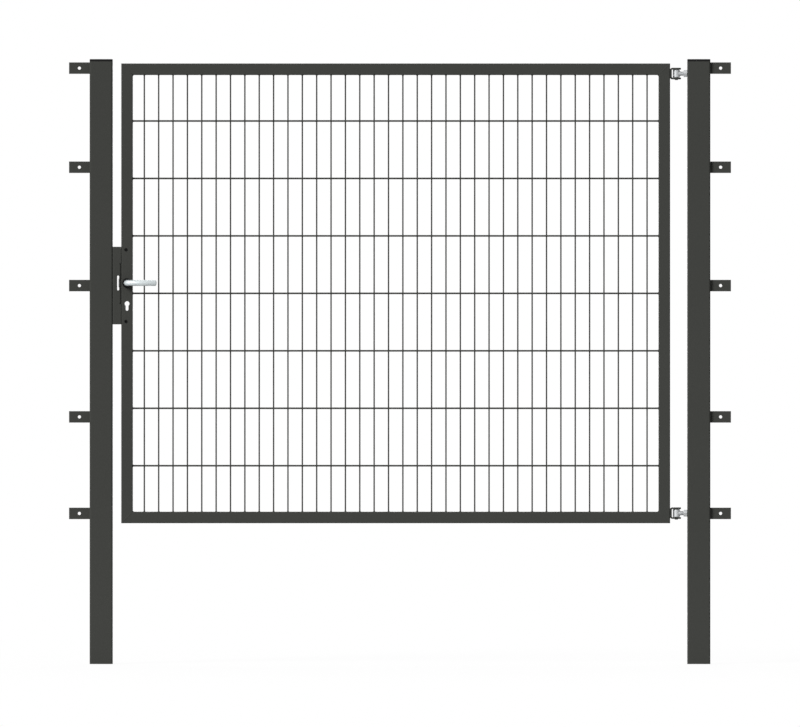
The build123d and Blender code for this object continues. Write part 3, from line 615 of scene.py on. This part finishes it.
def boolean(operation, mesh, *others):
    """Joins closed meshes to another one, or cuts them out of it, and closes the slivers along the seam."""
    for closed in (mesh, *others):
        bmesh.ops.recalc_face_normals(closed, faces=closed.faces)
    whole = solid("whole", mesh)
    tools = [solid("tool", other) for other in others]
    for tool in tools:
        step = whole.modifiers.new(operation, "BOOLEAN")
        step.operation = operation
        step.solver = "EXACT"
        step.object = tool
    result = bmesh.new()
    result.from_object(whole, bpy.context.evaluated_depsgraph_get())
    bmesh.ops.remove_doubles(result, verts=result.verts, dist=SLIVER)
    for used in (whole, *tools):
        bpy.data.meshes.remove(used.data)
    return result


print("joining and cutting ready")

# %% [markdown]
# The gate is levelled by screwing the bolts in and out, so a length of thread shows between barrel and nut.
# In CAD the shank is a plain bar. Here its radius is a field over length and angle: a triangle wave that
# moves on by one pitch a turn, which is all that a screw thread is.

# %% The shank's thread
THREAD_RADIUS, THREAD_DEPTH, THREAD_PITCH, RINGS_A_PITCH = 8 * MM, 1.15 * MM, 2 * MM, 10
FLANK_SLOPE, CREST_SHARE = 2.4, 0.1
SHANK_SIDES = 40
# How far the shank's flare reaches from the barrel's axis, and its radius there, in millimetres
FLARE = [(7.5, 9.3), (10.5, 9.3), (12.5, 8.8), (14.0, 8.2), (15.0, 8.0)]


def thread_radius(along, angle):
    """The thread's radius at a length along the shank, and at an angle round it."""
    phase = (along / THREAD_PITCH - angle / (2 * math.pi)) % 1
    flank = min(1.0, max(0.0, FLANK_SLOPE * abs(phase - 0.5) - CREST_SHARE))
    return THREAD_RADIUS - THREAD_DEPTH * flank * min(1.0, along / THREAD_PITCH)


def shank_ring(x, middle, radii):
    return [Vector((x, r * c, middle + r * s)) for r, (c, s) in zip(radii, turn(SHANK_SIDES))]


def threaded_shank(axis_x, end_x, middle):
    """A shank that flares into the barrel, runs along its thread and ends in a flat tip."""
    rings = [shank_ring(axis_x + reach * MM, middle, [r * MM] * SHANK_SIDES) for reach, r in FLARE]
    thread_start = axis_x + FLARE[-1][0] * MM
    steps = round((end_x - thread_start) / (THREAD_PITCH / RINGS_A_PITCH))
    angles = [2 * math.pi * column / SHANK_SIDES for column in range(SHANK_SIDES)]
    for i in range(1, steps):
        along = (end_x - thread_start) * i / steps
        rings.append(shank_ring(thread_start + along, middle, [thread_radius(along, a) for a in angles]))
    rings.append(shank_ring(end_x, middle, [THREAD_RADIUS - THREAD_DEPTH] * SHANK_SIDES))
    mesh = bmesh.new()
    skin(mesh, rings)
    return mesh


print("thread ready")

# %% [markdown]
# The barrel is a short tube round the hinge pin with softened lips. Its section is turned about the pin's
# axis as a closed row of rings, from the bore along the lower lip, up the wall and back along the upper
# lip.

# %% Eye bolts
EYE_RADIUS, EYE_BORE, EYE_EDGE = 12 * MM, 6.1 * MM, 0.9 * MM
# Many small faces on the wall keep the shading clean round the join
EYE_SIDES, WALL_ROWS = 96, 25
for place in ("upper", "lower"):
    low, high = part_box(f"{place}_eye_bolt")
    axis_x, middle, half = low.x + EYE_RADIUS, (low.z + high.z) / 2, (high.z - low.z) / 2
    lip = [(EYE_BORE, half - EYE_EDGE / 2), (EYE_BORE + EYE_EDGE / 2, half), (EYE_RADIUS - EYE_EDGE, half)]
    wall = [(EYE_RADIUS, h) for h in spaced(EYE_EDGE - half, half - EYE_EDGE, WALL_ROWS)]
    section = [(r, -h) for r, h in lip] + wall + lip[::-1]
    rings = [[Vector((axis_x + r * c, r * s, middle + h)) for c, s in turn(EYE_SIDES)] for r, h in section]
    barrel = bmesh.new()
    skin(barrel, rings, closed=True)
    eye = boolean("UNION", barrel, threaded_shank(axis_x, high.x, middle))
    piece(f"{place}_threaded_eye", eye, "bright_zinc", "posts", f"{place}_eye_bolt")

# %% [markdown]
# A hexagon nut is turned before its bore is cut, and the turning leaves a chamfer of 30 degrees: the arcs
# that curve down at each corner are where that cone meets the six flats. The ring's radius is simply the
# smaller of the two, hexagon or cone, so the arcs come out by themselves.

# %% Chamfered lock nuts
FLATS, CHAMFER_TOP, CHAMFER_SLOPE = 24 * MM, 11.3 * MM, 1 / math.tan(math.radians(30))
NUT_BORE, NUT_MOUTH, MOUTH_DEPTH, NUT_SIDES = 7.6 * MM, 8.9 * MM, 1 * MM, 96
CHAMFER_RINGS = [n * MM for n in (0.0, 0.3, 0.6, 0.9, 1.2, 1.5)]
CORNER_ANGLE = 60
nut_low, nut_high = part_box("lock_nuts")
nut_length = nut_high.x - nut_low.x
bore = [
    (nut_length, NUT_MOUTH),
    (nut_length - MOUTH_DEPTH, NUT_BORE),
    (MOUTH_DEPTH, NUT_BORE),
    (0, NUT_MOUTH),
]


def hexagon(column):
    """The hexagon's radius at a column of the ring: corners in front and behind, flats on top and below."""
    from_corner = (360 * column / NUT_SIDES) % CORNER_ANGLE
    return FLATS / 2 / math.cos(math.radians(from_corner - CORNER_ANGLE / 2))


nuts = bmesh.new()
for place in ("upper", "lower"):
    low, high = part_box(f"{place}_eye_bolt")
    middle = (low.z + high.z) / 2
    outline = []
    for depth in CHAMFER_RINGS + [nut_length - d for d in CHAMFER_RINGS[::-1]]:
        cone = CHAMFER_TOP + CHAMFER_SLOPE * min(depth, nut_length - depth)
        outline.append((depth, [min(hexagon(column), cone) for column in range(NUT_SIDES)]))
    for depth, radius in bore:
        outline.append((depth, [radius] * NUT_SIDES))
    rings = [
        [Vector((nut_low.x + depth, r * c, middle + r * s)) for r, (c, s) in zip(radii, turn(NUT_SIDES))]
        for depth, radii in outline
    ]
    skin(nuts, rings, closed=True)
piece("chamfered_lock_nuts", nuts, "bright_zinc", "posts", "lock_nuts")

# %% [markdown]
# ### Bowed levers
# Each lever is a round bar, bent out of its neck and then bowed gently so that it fits the hand. The bow
# shows in the picture: the shine fades steadily from the bend to the tip, where a straight bar would stay
# even. The CAD lever has a smaller bow. Here rings follow the bar through two arcs that meet without a
# kink, and every place along them is named by the angle that the bar has turned through. The bow's radius
# comes from the lever's length.

# %% The lever's line
BAR, NECK, NECK_START, SHOULDER = 10 * MM, 8.5 * MM, 12 * MM, 52.5 * MM
BEND, BEND_TURN, WHOLE_TURN, BAR_SIDES = 12.5 * MM, 75, 115, 48
lever_low, lever_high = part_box("front_lever")
neck_x, lever_z = lever_low.x + BAR, (lever_low.z + lever_high.z) / 2
bend_cos, tip_cos = math.cos(math.radians(BEND_TURN)), math.cos(math.radians(WHOLE_TURN))
tip_x = lever_high.x + BAR * tip_cos
bow = (tip_x - neck_x - BEND * (1 - bend_cos)) / (bend_cos - tip_cos)


def bar_ring(facing, turned, radius, back=0.0):
    """The bar's ring where it has turned this many degrees, moved back along the bar by a length."""
    heading, bent = math.radians(turned), math.radians(min(turned, BEND_TURN))
    x = neck_x + BEND * (1 - math.cos(bent)) + bow * (math.cos(bent) - math.cos(heading))
    out = SHOULDER + BEND * math.sin(bent) + bow * (math.sin(heading) - math.sin(bent))
    x, out = x - back * math.sin(heading), out - back * math.cos(heading)
    ring = []
    for c, s in turn(BAR_SIDES):
        across = radius * c
        y = facing * (out + across * math.sin(heading))
        ring.append((x - across * math.cos(heading), y, lever_z + radius * s))
    return ring


print(f"levers bow to a radius of {bow / MM:.0f} mm")

# %% [markdown]
# A lever is held on its square spindle by a small screw from below. The Boolean cuts the screw's hole and
# the square socket out of the finished bar, as the drill and the broach do.

# %% Two bowed levers
SHOULDER_EDGE, TIP_EDGE, TIP_ANGLES = 0.5 * MM, 1.0 * MM, (0, 30, 60, 90)
SCREW_RADIUS, SCREW_OUT, SCREW_SIDES = 2.55 * MM, 57.5 * MM, 32
SOCKET_HALF, SOCKET_START, SOCKET_END = 4.05 * MM, NECK_START - MM, 63 * MM
BAR_TURNS = (2.5, *range(5, BEND_TURN, 5), *range(BEND_TURN, WHOLE_TURN))
SQUARE = ((-1, -1), (1, -1), (1, 1), (-1, 1))
for place, facing in (("front", -1), ("rear", 1)):
    rings = [bar_ring(facing, turned=0, radius=NECK, back=SHOULDER - NECK_START)]
    rings.append(bar_ring(facing, turned=0, radius=NECK))
    rings.append(bar_ring(facing, turned=0, radius=BAR - SHOULDER_EDGE))
    rings += [bar_ring(facing, turned, BAR) for turned in BAR_TURNS]
    for t in map(math.radians, TIP_ANGLES):
        inset, back = TIP_EDGE * (1 - math.cos(t)), TIP_EDGE * (1 - math.sin(t))
        rings.append(bar_ring(facing, WHOLE_TURN, BAR - inset, back))
    bar, hole, socket = bmesh.new(), bmesh.new(), bmesh.new()
    skin(bar, rings)
    spot = [(neck_x + SCREW_RADIUS * c, facing * SCREW_OUT + SCREW_RADIUS * s) for c, s in turn(SCREW_SIDES)]
    skin(hole, [[(x, y, lever_z - drop) for x, y in spot] for drop in (0, 2 * BAR)])
    square = [(neck_x + SOCKET_HALF * u, lever_z + SOCKET_HALF * v) for u, v in SQUARE]
    skin(socket, [[(x, facing * out, z) for x, z in square] for out in (SOCKET_START, SOCKET_END)])
    lever = boolean("DIFFERENCE", bar, hole, socket)
    piece(f"{place}_bowed_lever", lever, "satin_aluminium", "handle", f"{place}_lever")

# %% [markdown]
# ### Stop pads
# The leaf closes against two rubber pads inside the keep. Such pads are cut from ribbed strip, because ribs
# give way more softly than a solid block. The rings are rounded oblongs stacked upwards, and the face
# towards the leaf goes in and out as they climb.

# %% Ribbed pads
PAD_LENGTH, RIB_PITCH, RIB_DEPTH, PAD_ROUND, PAD_STEPS = 49 * MM, 3.5 * MM, 0.8 * MM, 0.6 * MM, 112
# For each corner of the oblong: right or left, back or front, and the angle at which its round starts
PAD_CORNERS = ((1, 1, 0), (0, 1, 90), (0, 0, 180), (1, 0, 270))
pad_low, pad_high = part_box("stop_pads")


def pad_ring(foot, climb):
    """The pad's outline at a height above its foot."""
    ends = min(1.0, min(climb, PAD_LENGTH - climb) / PAD_ROUND)
    pinch = PAD_ROUND * (1 - math.sqrt(ends * (2 - ends)))
    groove = RIB_DEPTH * (0.5 - 0.5 * math.cos(2 * math.pi * climb / RIB_PITCH)) ** 2
    left, right = pad_low.x + pinch, pad_high.x - pinch
    front, back = pad_low.y + groove + pinch, pad_high.y
    ring = []
    for at_right, at_back, start in PAD_CORNERS:
        hub_x = right - PAD_ROUND if at_right else left + PAD_ROUND
        hub_y = back - PAD_ROUND if at_back else front + PAD_ROUND
        for t in map(math.radians, (start, start + 45, start + 90)):
            x, y = hub_x + PAD_ROUND * math.cos(t), hub_y + PAD_ROUND * math.sin(t)
            ring.append(Vector((x, y, foot + climb)))
    return ring


pads = bmesh.new()
for foot in (pad_low.z, pad_high.z - PAD_LENGTH):
    skin(pads, [pad_ring(foot, PAD_LENGTH * i / PAD_STEPS) for i in range(PAD_STEPS + 1)])
piece("ribbed_stop_pads", pads, "black_rubber", "posts", "stop_pads")

# %% [markdown]
# ## The stage
# The camera stands far off with a very long lens, because the picture shows no perspective: both posts are
# seen straight on. An orthographic camera would do as well, but a long lens stays a camera that can be
# moved closer.

# %% Camera
FRAME_WIDTH, VIEW_HEIGHT, FRONT_PLANE = 2.7832, 1.0458, -0.03
LENS_MM, FAR_CLIP = 720.0, 200.0
camera_data = bpy.data.cameras.new("camera")
camera_data.lens = LENS_MM
camera_data.clip_end = FAR_CLIP
camera = bpy.data.objects.new("camera", camera_data)
distance = FRAME_WIDTH * LENS_MM / camera_data.sensor_width
camera.location = (0, FRONT_PLANE - distance, VIEW_HEIGHT)
camera.rotation_euler = (math.pi / 2, 0, 0)
scene.collection.objects.link(camera)
scene.camera = camera
scene.view_settings.view_transform = "Standard"
print(f"camera {distance:.1f} m away")

# %% [markdown]
# The key light is a broad sun from the upper left: the right-hand tabs carry the post's soft shadow, and
# the lever's falls to the lower right. A second, broader one from behind keeps the rear from going black.
# Suns are used because their light is the same all over a gate of more than two metres, where a lamp close
# by would fade.

# %% Two suns
def sun(name, strength, spread, travels):
    """A broad lamp whose light travels along a direction; spread is its apparent width in degrees."""
    lamp = bpy.data.lights.new(name, "SUN")
    lamp.energy = strength
    lamp.angle = math.radians(spread)
    made = bpy.data.objects.new(name, lamp)
    made.rotation_euler = Vector(travels).to_track_quat("-Z", "Y").to_euler()
    scene.collection.objects.link(made)
    print(f"{name} of strength {strength}, {spread} degrees wide")


sun("key", strength=3.05, spread=24, travels=(0.72, 1, -0.62))
sun("back_fill", strength=2.2, spread=60, travels=(0.15, -1, -0.5))

# %% [markdown]
# The world is plain white to the camera and to reflections, and lights everything else gently. The Light
# Path node tells the rays apart, so the background needs no light of its own that would wash out the dark
# paint.

# %% World
AMBIENT, WHITE = 0.22, grey(1.0)


def shows_white(wire):
    """1 for the rays that see plain white: the camera's, mirrored ones and those through glass."""
    paths = wire.node("ShaderNodeLightPath").socket.node
    camera_ray, mirrored, through = (
        Wire(wire.tree, paths.outputs[f"Is {ray} Ray"]) for ray in ("Camera", "Glossy", "Transmission")
    )
    return (camera_ray + mirrored + through).clamped()


world = bpy.data.worlds.new("studio")
world.use_nodes = True
world.node_tree.nodes.clear()
sky = Wire(world.node_tree)
white = sky.node("ShaderNodeBackground", {}, {"Color": WHITE, "Strength": 1.0})
dim = sky.node("ShaderNodeBackground", {}, {"Color": WHITE, "Strength": AMBIENT})
studio = sky.node("ShaderNodeMixShader", {}, {0: shows_white(sky), 1: dim, 2: white})
sky.node("ShaderNodeOutputWorld", {}, {0: studio})
scene.world = world
print(f"world lights with a strength of {AMBIENT}")

# %% [markdown]
# The floor glows white to the same rays, and a small share of it is a lit surface, which keeps the soft
# shadow of the posts. That surface is white to the eye and grey to the light that bounces off it, so it
# lights the gate from below no more than a real floor would. Towards its rim the floor is glow alone, so no
# edge shows against the world.

# %% Floor
FLOOR_RADIUS, RIM_SEGMENTS = 5.0, 96
GLOW_SHARE, FADE_SLOPE, FADE_OFFSET, BOUNCE = 0.92, 0.35, 0.55, grey(0.5)
rim = bmesh.new()
bmesh.ops.create_circle(rim, cap_ends=True, segments=RIM_SEGMENTS, radius=FLOOR_RADIUS)
floor = solid("floor", rim)
pale = Finish("pale_floor", Specular_IOR_Level=0.0, Roughness=0.9)
white_to_eye = shows_white(pale)
pale.paint("Base Color", white_to_eye.blend(BOUNCE, WHITE))
from_middle = pale.node("ShaderNodeVectorMath", {"operation": "LENGTH"}, {0: pale.place}, "Value")
fading = (FADE_SLOPE * from_middle - FADE_OFFSET).clamped()
glow = pale.node("ShaderNodeEmission", {}, {"Color": WHITE, "Strength": 1.0})
lit = Wire(pale.tree, pale.shader.outputs[0])
share = white_to_eye * (GLOW_SHARE + (1 - GLOW_SHARE) * fading)
floor_surface = pale.node("ShaderNodeMixShader", {}, {0: share, 1: lit, 2: glow})
pale.tree.links.new(floor_surface.socket, pale.tree.nodes["Material Output"].inputs["Surface"])
floor.data.materials.append(pale.material)
print(f"floor of {FLOOR_RADIUS} m radius")
